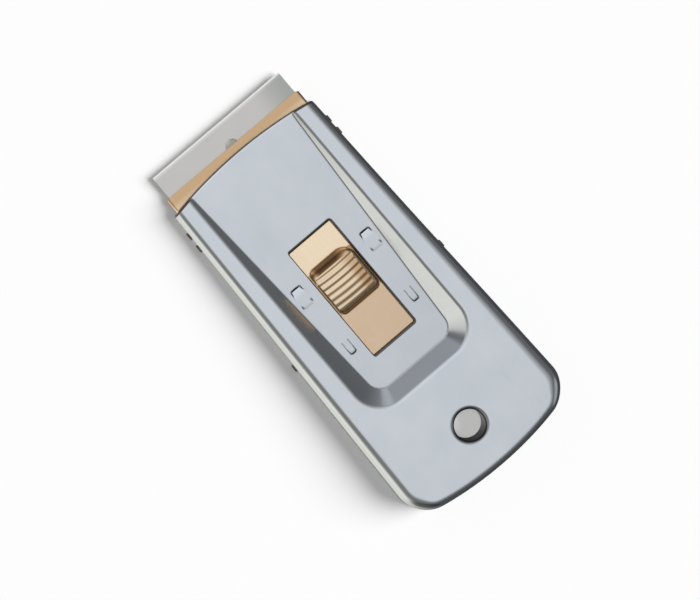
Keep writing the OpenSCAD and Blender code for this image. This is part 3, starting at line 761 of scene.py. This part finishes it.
class SCRAPER_OT_cover(bpy.types.Operator):
    """Build the pressed cover: sunk panel, rolled edges, openings, lanced tongues and the drawn hole"""
    bl_idname = "scraper.cover"
    bl_label = "Cover"

    def execute(self, context):
        case = context.scene.scraper_case
        bm = bmesh.new()
        layer = bm.verts.layers.float.new("painted_shade")
        # Rolled edge and outer wall
        samples = case_samples()
        lines = [case_line(samples, lambda s: DRAFT + roll_at(s) + HOLD, top_at)]
        steps = 12
        for k in range(steps + 1):
            turn = pi / 2 * (1 - k / steps)
            lines.append(case_line(
                samples, lambda s: DRAFT + roll_at(s) * (1 - cos(turn)),
                lambda s: top_at(s) - roll_at(s) * (1 - sin(turn))))
        for share in (0.25, 0.5, 0.75):
            lines.append(case_line(
                samples, lambda s: DRAFT * (1 - share),
                lambda s: mix(top_at(s) - roll_at(s), SLOT_TOP, share)))
        for z in (SLOT_TOP, 0.25, 0.0):
            lines.append(case_line(samples, lambda s: DRAFT * 0.1 * z, lambda s: z))
        case_rows = sweep(bm, lines)
        panel_rows = sweep(bm, panel_lines(panel_samples(), case.floor_bend / MM, case.wall_bend / MM))
        # Openings in the panel's floor. Painted shade lies on the window's rolled edge and round it, but not
        # on the margin to its left, which the key light's shadow misses
        rims = [pierce_window(bm, case.window_roll / MM)]
        left, right, front, tail = WINDOW
        for v in bm.verts:
            x, s = v.co.x, FRONT_Y - v.co.y
            if max(left - x, x - right, front - s, s - tail) < 0.6 and v.co.z <= PANEL_Z:
                v[layer] = 0.0 if x < left and front < s < tail else 0.8
        for side in (-1, 1):
            rims.append(lance(
                bm, layer, x=side * 10.5, half=1.5, root=36.11, length=5.4, way=1, slit=0.3, bend=0.3,
                drop=1.0, torn_from=0.67, tip=0.3, dots=(1,), root_crease=0.2))
            rims.append(lance(
                bm, layer, x=side * 9.55, half=0.85, root=47.71, length=3.6, way=-1, slit=0.13, bend=0.0,
                drop=0.4, torn_from=0.3, tip=0.55, crease=0.55))
        # Floor of the panel
        floor = panel_rows[0]
        fill(bm, floor + front_line(bm, floor[-1], floor[0], 24, lambda s: PANEL_Z), *rims)
        # Drawn neck of the hanging hole
        lip = case.hole_lip / MM
        neck = []
        for out, down, *_ in [(lip + HOLD, 0.0)] + arc(lip, lip, lip, pi / 2, pi, 8):
            ring = arc(0.0, HOLE_S, HOLE_R + out, 0, 2 * pi, 64)[:-1]
            neck.append([spot(x, s, top_at(s) - down) for x, s, *_ in ring])
        bore = neck[-1]
        for share in (0.4, 0.75, 0.96, 1.0):
            neck.append([Vector((p.x, p.y, mix(p.z, 0.02, share))) for p in bore])
        neck_rows = sweep(bm, neck, closed=True)
        # Upper plane, between the panel and the rolled edge
        rail, rim = panel_rows[-1], case_rows[0]
        left_bar = front_line(bm, rail[-1], rim[-1], 4, top_at)
        right_bar = front_line(bm, rim[0], rail[0], 4, top_at)
        fill(bm, rail + left_bar + list(reversed(rim)) + right_bar, neck_rows[0])
        # Slots for the crimp ears
        slots = []
        for f in bm.faces:
            c = f.calc_center_median()
            if abs(c.x) > FRONT_HALF - 1 and c.z < SLOT_TOP:
                if any(abs(FRONT_Y - c.y - ear) < EAR_HALF for ear in EARS):
                    slots.append(f)
        bmesh.ops.delete(bm, geom=slots, context="FACES")
        face_up(bm)
        # Front edge, brought to its bow and turned down a little, most along the rails
        front = {v for v in bm.verts if abs(FRONT_Y - v.co.y - bow_at(v.co.x) - FRONT_HOLD) < 0.01}
        bm.normal_update()
        edges = [e for e in bm.edges if e.is_boundary and set(e.verts) <= front]
        start = {v: (v.co.copy(), v.normal.copy()) for v in front}
        steps = 5
        for k in range(1, steps + 1):
            made = bmesh.ops.extrude_edge_only(bm, edges=edges)["geom"]
            fresh = {g for g in made if isinstance(g, bmesh.types.BMVert)}
            moved = {}
            for old, (place, normal) in start.items():
                new = next((e.other_vert(old) for e in old.link_edges if e.other_vert(old) in fresh), None)
                if new is None:
                    continue
                turned = mix(TURNED_FLOOR, TURNED_RAIL, smooth((abs(place.x) - 15.2) / 1.2))
                # It ends a little short of a quarter turn
                a = pi / 2 * 0.85 * k / steps
                ease = (FRONT_HOLD - turned) * k / steps + turned * sin(a)
                new.co = place + Vector((0, ease, 0)) - normal * turned * (1 - cos(a))
                moved[new] = (place, normal)
            for f in made:
                if isinstance(f, bmesh.types.BMFace):
                    # Bare steel shows sooner on the rails; there its dark finish also paints the shade under
                    # their front edge
                    on_rail = abs(f.calc_center_median().x) > 15.6
                    f.material_index = 1 if k > (1 if on_rail else 3) else 0
            edges = [e for e in bm.edges if e.verts[0] in fresh and e.verts[1] in fresh and e.is_boundary]
            start = moved
        # Painted shade darkens the hole's neck, more deeply down it, and the crease round the panel's floor
        for k, row in enumerate(neck_rows):
            for v in row:
                v[layer] = smooth((k - 1) / 6)
        for k, amount in ((1, 0.08), (2, 0.35), (3, 0.45), (4, 0.35), (5, 0.15)):
            for v in panel_rows[k]:
                v[layer] = amount
        face_up(bm)
        plate = plated_steel("plated_pressed_steel", case.plate, case.plate_dull, 0.17, 0.23)
        cut = sheared_steel("cut_edge_and_painted_shade", case.cut)
        piece = make_piece(bm, "pressed_cover", "housing", [plate, cut], ["cover"])
        thicken(piece, case.sheet, case.edge_round)
        return {"FINISHED"}


class SCRAPER_OT_base(bpy.types.Operator):
    """Build the base plate with its crimp ears, detent holes and the hole for the neck"""
    bl_idname = "scraper.base"
    bl_label = "Base Plate"

    def execute(self, context):
        case = context.scene.scraper_case
        bm = bmesh.new()
        layer = bm.verts.layers.float.new("painted_shade")
        mouth = FRONT_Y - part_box("base_plate")[1].y / MM
        samples = case_samples()
        height = case.base_sheet / MM
        # Its outline starts at its mouth, on the line of the case's wall
        first, later = samples[0], samples[5]
        slope = (later[0] - first[0]) / (later[1] - first[1])
        rows = [(first[0] + slope * mouth, mouth, *first[2:])]
        rows += [r for r in samples if r[1] > mouth + 0.5]

        def outline_at(grow):
            half = []
            for i, (x, s, nx, ns) in enumerate(rows):
                px, ps = x - (BASE_INSET + grow) * nx, s - (BASE_INSET + grow) * ns
                if i == 0:
                    ps = mouth + grow
                half.append(spot(max(0.0, px), ps, height))
            return mirrored(half)

        rim, outer = held_edge(bm, outline_at)
        # The hole round the neck, and the detent holes for the slide's three places
        holes = []
        back, ahead = frame["joints"][0]["range_m"]
        detents = [(NOSE_S - t / MM, DETENT_R, 40) for t in (back, 0.0, ahead)]
        for s, r, steps in [(HOLE_S, NECK_HOLE_R, 64)] + detents:
            hole, _ = held_edge(bm, lambda grow: circle(0.0, s, r + grow, height, steps))
            holes.append(hole)
        fill(bm, rim, *holes)
        # Crimp ears, drawn out through the cover's slots
        for side in (-1, 1):
            for ear in EARS:
                verts = [v for v in outer if v.co.x * side > 10]
                verts = [v for v in verts if abs(FRONT_Y - v.co.y - ear) < EAR_HALF + 0.2]
                verts.sort(key=lambda v: v.co.y)
                out = right_out(ear) if side > 0 else 0.0
                wall = max(abs(v.co.x) for v in verts) + BASE_INSET + out
                # Each ear stands 0.3 mm out of the wall, and its end is narrower
                for reach, half in ((-0.1, EAR_HALF), (0.2, EAR_HALF), (0.3, EAR_HALF - 0.25)):
                    line = [spot(side * (wall + reach), ear + sign * half, height) for sign in (1, -1)]
                    verts = pull(bm, verts, line, slot=1)
        face_up(bm)
        # Its outer edge, under the cover's wall, gets a little painted shade
        for v in outer:
            v[layer] = 0.25
        plate = plated_steel("plated_flat_steel", case.plate, case.plate_dull, 0.24, 0.32)
        cut = sheared_steel("sheared_base_edge", case.cut)
        piece = make_piece(bm, "stamped_base", "housing", [plate, cut], ["base_plate"])
        thicken(piece, case.base_sheet, 0.12 * MM)
        return {"FINISHED"}


# Slide

def hump_place(u, w, grow):
    """Plan place on the thumb hump. u and w run from -1 to 1 across it and along it, and grow from 0 at its
    crest to 1 at its foot."""
    front, tail = mix(HUMP[0] + CREST_FRONT, HUMP[0], grow), mix(HUMP[1] - CREST_TAIL, HUMP[1], grow)
    side = mix(*(HUMP_LEFT if u < 0 else HUMP_RIGHT), grow)
    # The foot's front right corner is drawn round the most
    corner = mix(CREST_CORNER_R, FRONT_RIGHT_R if u > 0 and w < 0 else FOOT_CORNER_R, grow)
    x, s = u * side, mix(front, tail, (w + 1) / 2)
    dx, ds = side - abs(x), min(s - front, tail - s)
    if dx < corner and ds < corner:
        # The plan's square corner is drawn in to a round one
        away = Vector((corner - dx, corner - ds))
        scale = max(away) / away.length
        x = (side - corner + away.x * scale) * (1 if u > 0 else -1)
        s = front + corner - away.y * scale if w < 0 else tail - corner + away.y * scale
    return x, s


def crown_at(x, s, slide):
    """Height of the hump's crest, with its ridges."""
    front, tail = HUMP[0] + CREST_FRONT, HUMP[1] - CREST_TAIL
    u = 2 * (s - front) / (tail - front) - 1
    across = (x / CREST_HALF) ** 2
    z = SLIDE_TOP + CREST_HEIGHT - END_FALL * u * u - SIDE_FALL * across
    bow = slide.ridge_bow / MM * (1 - across)
    # The crest starts just behind its first ridge's top
    phase = (s - bow - front) / (tail - front) * (slide.ridges - 1) - 0.38
    wave = 0.5 - 0.5 * cos(2 * pi * phase)
    inside = smooth((s - front + 0.1) / 0.3) * smooth((tail - s + 0.1) / 0.3)
    # The ridges are worn lower towards the tail
    height = slide.ridge_height / MM * (1 - 0.4 * smooth((u + 0.3) / 0.6))
    return z + inside * height * (wave - 0.6)


def slide_section(s, top):
    """A line across the slide's wide part, from one flange's foot over the plate to the other's."""
    half = [(SLIDE_HALF, FLANGE_Z), (SLIDE_HALF, FLANGE_Z + 0.25)]
    half += arc(SLIDE_HALF - FOLD_R, top - FOLD_R, FOLD_R, 0, -pi / 2, 6)
    half += [(x, top) for x in (SLIDE_HALF - FOLD_R - HOLD, 12.0, 0.0)]
    return mirrored([spot(x, s, z) for x, z, *_ in half])


def slide_outline(grow):
    """Edge of the slide's flat part: the wide part's round corners, then the tongue."""
    tongue, yoke = TONGUE_HALF - grow, YOKE_END - grow
    r = YOKE_CORNER_R
    points = arc(YOKE_CORNER_X, YOKE_END - r, r - grow, 0, -pi / 2, 8) + [(12.0, yoke)]
    r = TONGUE_ROOT_R
    points += arc(tongue + r, yoke + r, r, pi / 2, pi, 4)
    points += [(tongue, s) for s in (25.0, 32.0, 40.0, 48.0, 55.0)]
    r = TONGUE_CORNER_R
    points += arc(TONGUE_HALF - r, TONGUE_END - r, r - grow, 0, -pi / 2, 8)
    points += [(x, TONGUE_END - grow) for x in (2.5, 0.0)]
    return mirrored([spot(x, s, SLIDE_TOP) for x, s, *_ in points])


class SCRAPER_OT_slide(bpy.types.Operator):
    """Build the pressed blade slide with its flanges, joggle and ridged thumb hump"""
    bl_idname = "scraper.slide"
    bl_label = "Blade Slide"

    def execute(self, context):
        slide = context.scene.scraper_slide
        bm = bmesh.new()
        layer = bm.verts.layers.float.new("painted_shade")
        # Strip and land in front, then the joggle up to the flat part
        stations = [(s, LAND_TOP) for s in (SLIDE_FRONT, SLIDE_FRONT + 0.8, -1.5, 1.0)]
        bend = 0.35
        rise = SLIDE_TOP - LAND_TOP
        for k in range(9):
            t = k / 8
            stations.append((mix(LAND_END - bend, SPINE_MOUTH + bend, t), LAND_TOP + rise * smooth(t)))
        stations.append((SPINE_MOUTH + bend + HOLD, SLIDE_TOP))
        lines = [slide_section(s, top) for s, top in stations]
        # The strip's front corners are rounded in plan
        for p in lines[0]:
            p.y -= 0.35 * smooth((abs(p.x) - SLIDE_HALF + 0.9) / 0.9)
        rows = sweep(bm, lines)
        # Folds and flanges beside the flat part
        back = rows[-1]
        fold_ends = []
        for line in (back[:10], list(reversed(back))[:10]):
            inner = [line[-1]]
            for s in (8.0, 12.0, 16.2, 16.5):
                line = pull(bm, line, [Vector((v.co.x, FRONT_Y - s, v.co.z)) for v in line])
                inner.append(line[-1])
            fold_ends.append(inner)
        # Hump
        cap = bmesh.ops.create_grid(bm, x_segments=56, y_segments=96, size=1.0)["verts"]
        grid = {v: (v.co.x, -v.co.y) for v in cap}
        border = [v for v in cap if max(abs(v.co.x), abs(v.co.y)) > 0.9999]
        border.sort(key=lambda v: atan2(v.co.y, v.co.x))
        for v, (u, w) in grid.items():
            x, s = hump_place(u, w, 0.0)
            v.co = spot(x, s, crown_at(x, s, slide))
        loop = border
        places = [grid[v] for v in border]
        tops = [v.co.z for v in border]
        wall_rows = []
        # Each row of its walls lies this share of the way out to the foot, and this share of the way down
        for out, down in (
            (0.12, 0.015), (0.25, 0.05), (0.38, 0.11), (0.5, 0.19), (0.61, 0.3), (0.7, 0.44), (0.78, 0.6),
            (0.84, 0.76), (0.89, 0.89), (0.94, 0.97), (1.0, 1.0),
        ):
            line = []
            for (u, w), z in zip(places, tops):
                x, s = hump_place(u, w, out)
                line.append(spot(x, s, mix(z, SLIDE_TOP, down)))
            loop = pull(bm, loop, line, closed=True)
            wall_rows.append(loop)
        skirt = []
        for u, w in places:
            x, s = hump_place(u, w, 1.0)
            away = Vector((x, s - (HUMP[0] + HUMP[1]) / 2)).normalized() * HOLD
            skirt.append(spot(x + away.x, s + away.y, SLIDE_TOP))
        loop = pull(bm, loop, skirt, closed=True)
        for v, (u, w) in zip(loop, places):
            # The narrow margins beside the hump get painted shade too, the right one most
            v[layer] = (0.55 if u > 0 else 0.4) if abs(u) > 0.9 and abs(w) < 0.9 else 0.0
        # Rivet holes
        holes = []
        for x in (-RIVET_X, RIVET_X):
            rim, _ = held_edge(bm, lambda grow: circle(x, RIVET_S, RIVET_R + grow, SLIDE_TOP, 36), 0.2)
            holes.append(rim)
        # Flat part. The lines from the folds' ends to the round corners close its rim
        rim, _ = held_edge(bm, slide_outline, closed=False)
        right_end, left_end = fold_ends
        fill(bm, right_end + rim + list(reversed(left_end)) + list(reversed(back[10:-10])), loop, *holes)
        face_up(bm)
        for k, row in enumerate(wall_rows):
            foot = smooth((k - 7) / 3)
            for v, (u, w) in zip(row, places):
                # Painted shade on the front wall, between its corners; on the other walls the bronze tone,
                # which deepens into painted shade at the foot of the tail wall
                ahead = smooth((-0.9 - w) / 0.08)
                painted_dark = 0.75 * ahead * smooth((0.95 - u) / 0.75) * smooth((u + 0.95) / 0.3) * (1 - 0.6 * foot)
                tail = (0.3 + 0.3 * foot) * smooth((w - 0.9) / 0.08)
                bronze_tone_and_shade = smooth((k + 1) / 3) * max(tail, 0.28 * smooth((abs(u) - 0.9) / 0.08))
                v[layer] = mix(0.08, 0.25, ahead) + max(painted_dark, bronze_tone_and_shade)
        for v in cap:
            # Painted shade lies on the rear side of each ridge, which faces away from the bright front, and
            # towards the right side, most so at the tail, over an even bronze tone
            x, s = v.co.x, FRONT_Y - v.co.y
            fall = crown_at(x, s - 0.1, slide) - crown_at(x, s + 0.1, slide)
            edge = smooth((x - 1.5) / 1.7) * mix(0.07, 0.16, smooth((s - 34.0) / 3.0))
            v[layer] = 0.15 + 0.08 * smooth(fall / 0.08) + 0.16 * smooth(x / 5) + edge
        brass = brass_plate("satin_brass_plate", slide.brass, slide.brass_dull, slide.front_brown, slide.bronze_tone_and_shade)
        piece = make_piece(bm, "pressed_slide", "slide", [brass, brass], ["blade_slide"])
        thicken(piece, slide.sheet, 0.12 * MM, rim_slot=0)
        return {"FINISHED"}


class SCRAPER_OT_blade(bpy.types.Operator):
    """Give the blade, its spine, the leaf spring and the rivets their steel"""
    bl_idname = "scraper.blade"
    bl_label = "Blade and Steel Parts"

    def execute(self, context):
        slide = context.scene.scraper_slide
        edge_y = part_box("blade")[1].y
        finishes = {
            "blade": ground_blade("ground_carbon_steel", slide.blade, "#C3C3C1", slide.honed_highlight, edge_y),
            "blade_spine": rolled_strip("folded_spine_strip", "#A3A6A9", "#8A8D90", 0.3, 0.42),
            "detent_spring": rolled_strip("tempered_spring_leaf", "#5F656E", "#4A4F57", 0.35, 0.5),
            "spring_rivets": rolled_strip("bright_rivet_steel", "#B8B9BA", "#A5A7A8", 0.25, 0.35),
        }
        for node, material in finishes.items():
            piece = frame["nodes"][node]
            piece.data.materials.clear()
            piece.data.materials.append(material)
        return {"FINISHED"}


# Studio

def studio_dome():
    """The light tent's colours by direction: bright above and in front, cream at the left, else dark."""
    material, tree, place = new_material("light_tent")
    way = add(tree, "ShaderNodeVectorMath", {0: place}, operation="NORMALIZE")["Vector"]
    height = add(tree, "ShaderNodeSeparateXYZ", {"Vector": way})["Z"]
    share = add(tree, "ShaderNodeMath", {0: height, 1: 0.5, 2: 0.5}, operation="MULTIPLY_ADD")["Value"]
    level = add(tree, "ShaderNodeVectorMath", {0: place, 1: (1, 1, 0)}, operation="MULTIPLY")["Vector"]
    flat = add(tree, "ShaderNodeSeparateXYZ", {
        "Vector": add(tree, "ShaderNodeVectorMath", {0: level}, operation="NORMALIZE")["Vector"]})
    # Levels by degrees above the horizon, up to the same bright top
    sides = {
        "right": (flat["X"], 1, (1.0, 1.0, 0.98), [
            (-90, 0.1), (0, 0.1), (8, 0.16), (15, 0.21), (30, 0.19), (42, 0.22), (58, 0.5), (75, 0.75)]),
        "left": (flat["X"], -1, (1.0, 0.965, 0.85), [
            (-90, 0.25), (-80, 0.35), (-65, 1.25), (-20, 1.25), (6, 1.4), (17, 1.4), (24, 1.1), (35, 0.42),
            (50, 0.3), (70, 0.32)]),
        "front": (flat["Y"], 1, (0.98, 0.99, 1.02), [
            (-90, 0.25), (-20, 0.3), (5, 0.5), (17, 0.52), (28, 0.65), (38, 0.95), (50, 1.15), (64, 1.2),
            (73, 1.4), (78, 1.3)]),
        "tail": (flat["Y"], -1, (0.98, 1.0, 1.0), [
            (-90, 0.08), (0, 0.1), (30, 0.13), (50, 0.2), (65, 0.45), (75, 0.7)]),
    }
    total = (0, 0, 0)
    for axis, sign, tint, stops in sides.values():
        colours = [((1 + sin(radians(a))) / 2, (*(power * t for t in tint), 1)) for a, power in stops]
        colours += [((1 + sin(radians(a))) / 2, (1.15, 1.15, 1.15, 1)) for a in (82, 90)]
        colour = add(tree, "ShaderNodeValToRGB", {"Fac": share}, stops=colours)["Color"]
        side = add(tree, "ShaderNodeMath", {0: axis, 1: float(sign)}, operation="MULTIPLY")["Value"]
        only = add(tree, "ShaderNodeMath", {0: side, 1: 0.0}, operation="MAXIMUM")["Value"]
        weight = add(tree, "ShaderNodeMath", {0: only, 1: 2.0}, operation="POWER")["Value"]
        part = add(tree, "ShaderNodeVectorMath", {0: colour, "Scale": weight}, operation="SCALE")["Vector"]
        total = add(tree, "ShaderNodeVectorMath", {0: total, 1: part}, operation="ADD")["Vector"]
    # Cards stand low round the object: a dark one in front to the left, a bright one in front to the right,
    # a dark one behind to the left and a pale one behind to the right. Each has a direction, the cosines where
    # it starts and is whole, and its level
    for direction, start, whole, level in (
        ((-0.5, 0.865, 0.04), 0.94, 0.975, 0.15),
        ((0.49, 0.85, 0.17), 0.96, 0.985, 1.7),
        ((-0.62, -0.75, 0.25), 0.85, 0.95, 0.2),
        ((0.69, -0.67, 0.29), 0.93, 0.975, 3.8),
    ):
        facing = add(tree, "ShaderNodeVectorMath", {0: way, 1: direction}, operation="DOT_PRODUCT")["Value"]
        card = add(tree, "ShaderNodeMapRange", {
            "Value": facing, "From Min": start, "From Max": whole, "To Min": 1.0, "To Max": level})["Result"]
        total = add(tree, "ShaderNodeVectorMath", {0: total, "Scale": card}, operation="SCALE")["Vector"]
    glow = add(tree, "ShaderNodeEmission", {"Color": total, "Strength": 1.0})["Emission"]
    add(tree, "ShaderNodeOutputMaterial", {"Surface": glow})
    material.cycles.emission_sampling = "NONE"
    return material


def looking_rays(tree):
    """1 for the rays that look: from the camera, mirrored, and through glass."""
    ray = add(tree, "ShaderNodeLightPath")
    looks = ray["Is Camera Ray"]
    for kind in ("Is Glossy Ray", "Is Transmission Ray"):
        looks = add(tree, "ShaderNodeMath", {0: looks, 1: ray[kind]}, operation="MAXIMUM")["Value"]
    return looks


def pale_floor(glow):
    """A plain white floor. What sees it directly or mirrored sees it lighter inside shadows, the most under
    the hanging hole."""
    material, tree, place = new_material("plain_white_floor")
    matt = add(tree, "ShaderNodeBsdfDiffuse", {"Color": linear("#D6D6D6")})["BSDF"]
    away = add(tree, "ShaderNodeVectorMath", {
        0: place, 1: spot(0.0, HOLE_S, 0.0) * MM}, operation="DISTANCE")["Value"]
    near = add(tree, "ShaderNodeMapRange", {
        "Value": away, "From Min": HOLE_R * MM, "From Max": (HOLE_R + 1.0) * MM, "To Min": glow + 0.24,
        "To Max": glow})["Result"]
    power = add(tree, "ShaderNodeMath", {0: looking_rays(tree), 1: near}, operation="MULTIPLY")["Value"]
    light = add(tree, "ShaderNodeEmission", {"Color": linear("#FFFFFD"), "Strength": power})["Emission"]
    both = add(tree, "ShaderNodeAddShader", {0: matt, 1: light})["Shader"]
    # From below, the floor is clear
    below = add(tree, "ShaderNodeNewGeometry")["Backfacing"]
    clear = add(tree, "ShaderNodeBsdfTransparent")["BSDF"]
    surface = add(tree, "ShaderNodeMixShader", {0: below, 1: both, 2: clear})["Shader"]
    add(tree, "ShaderNodeOutputMaterial", {"Surface": surface})
    return material


class SCRAPER_OT_stage(bpy.types.Operator):
    """Set the floor, the light tent, the key light, the world and the camera"""
    bl_idname = "scraper.stage"
    bl_label = "Studio"

    def execute(self, context):
        studio = context.scene.scraper_studio
        scene = context.scene
        scene.view_settings.view_transform = "Standard"
        bm = bmesh.new()
        bmesh.ops.create_circle(bm, cap_ends=True, radius=FLOOR_RADIUS, segments=96)
        floor = new_object(bm, "floor", [pale_floor(studio.floor_glow)])
        # What the metal mirrors from below comes from the tent's lower half
        floor.visible_glossy = False
        bm = bmesh.new()
        bmesh.ops.create_icosphere(bm, subdivisions=4, radius=TENT_RADIUS)
        bmesh.ops.reverse_faces(bm, faces=bm.faces)
        tent = new_object(bm, "light_tent", [studio_dome()])
        tent.visible_camera = False
        tent.visible_diffuse = False
        tent.visible_shadow = False
        tent.visible_transmission = False
        # A soft key light low on the right, a little from the tail, and a small one overhead
        for name, power, spread, place in (
            ("key", studio.key, studio.key_spread, (0.62, -0.43, 0.6)),
            ("overhead", studio.overhead, radians(16), (-0.04, 0.1, 1.0)),
        ):
            light = bpy.data.lights.new(name, "SUN")
            light.energy = power
            light.angle = spread
            lamp = bpy.data.objects.new(name, light)
            scene.collection.objects.link(lamp)
            lamp.matrix_world = Vector(place).to_track_quat("Z", "Y").to_matrix().to_4x4()
            lamp.visible_glossy = False
        # World: white to what looks at it, dim as a light
        world = bpy.data.worlds.new("studio")
        scene.world = world
        world.use_nodes = True
        tree = world.node_tree
        tree.nodes.clear()
        power = add(tree, "ShaderNodeMapRange", {
            "Value": looking_rays(tree), "To Min": 0.18, "To Max": 1.0})["Result"]
        sky = add(tree, "ShaderNodeBackground", {"Color": (1, 1, 1, 1), "Strength": power})["Background"]
        add(tree, "ShaderNodeOutputWorld", {"Surface": sky})
        # Camera, nearly straight above, leaning to the blade and the left
        data = bpy.data.cameras.new("camera")
        data.lens = LENS
        data.sensor_width = 36
        data.clip_start, data.clip_end = 0.01, 20
        camera = bpy.data.objects.new("camera", data)
        scene.collection.objects.link(camera)
        back = Vector((-sin(radians(LEAN_LEFT)), sin(radians(LEAN_FRONT)), 0))
        back.z = sqrt(1 - back.length_squared)
        right = Vector((0, 1, 0)).cross(back).normalized()
        up = back.cross(right)
        roll = radians(VIEW_TURN)
        across = cos(roll) * right + sin(roll) * up
        upward = cos(roll) * up - sin(roll) * right
        turn = Matrix((across, upward, back)).transposed().to_4x4()
        camera.matrix_world = Matrix.Translation(Vector(TARGET) * MM + back * DISTANCE) @ turn
        scene.camera = camera
        return {"FINISHED"}


class SCRAPER_PT_panel(bpy.types.Panel):
    """Lists the scraper's pieces and their sizes"""
    bl_idname = "SCRAPER_PT_panel"
    bl_label = "Razor Blade Scraper"
    bl_space_type = "VIEW_3D"
    bl_region_type = "UI"
    bl_category = "Scraper"

    def draw(self, context):
        layout = self.layout
        for group, operators in (
            (context.scene.scraper_case, (SCRAPER_OT_cover, SCRAPER_OT_base)),
            (context.scene.scraper_slide, (SCRAPER_OT_slide, SCRAPER_OT_blade)),
            (context.scene.scraper_studio, (SCRAPER_OT_stage,)),
        ):
            box = layout.box()
            for operator in operators:
                box.operator(operator.bl_idname)
            for name in group.__annotations__:
                box.prop(group, name)


CLASSES = (
    ScraperCase, ScraperSlide, ScraperStudio, SCRAPER_OT_cover, SCRAPER_OT_base, SCRAPER_OT_slide,
    SCRAPER_OT_blade, SCRAPER_OT_stage, SCRAPER_PT_panel)


def register():
    for c in CLASSES:
        bpy.utils.register_class(c)
    bpy.types.Scene.scraper_case = bpy.props.PointerProperty(type=ScraperCase)
    bpy.types.Scene.scraper_slide = bpy.props.PointerProperty(type=ScraperSlide)
    bpy.types.Scene.scraper_studio = bpy.props.PointerProperty(type=ScraperStudio)


def unregister():
    del bpy.types.Scene.scraper_case
    del bpy.types.Scene.scraper_slide
    del bpy.types.Scene.scraper_studio
    for c in reversed(CLASSES):
        bpy.utils.unregister_class(c)


def main():
    """Builds every piece and the studio."""
    register()
    for build in (
        bpy.ops.scraper.cover, bpy.ops.scraper.base, bpy.ops.scraper.slide, bpy.ops.scraper.blade,
        bpy.ops.scraper.stage,
    ):
        build()
    bpy.context.view_layer.update()


if __name__ == "__main__":
    main()
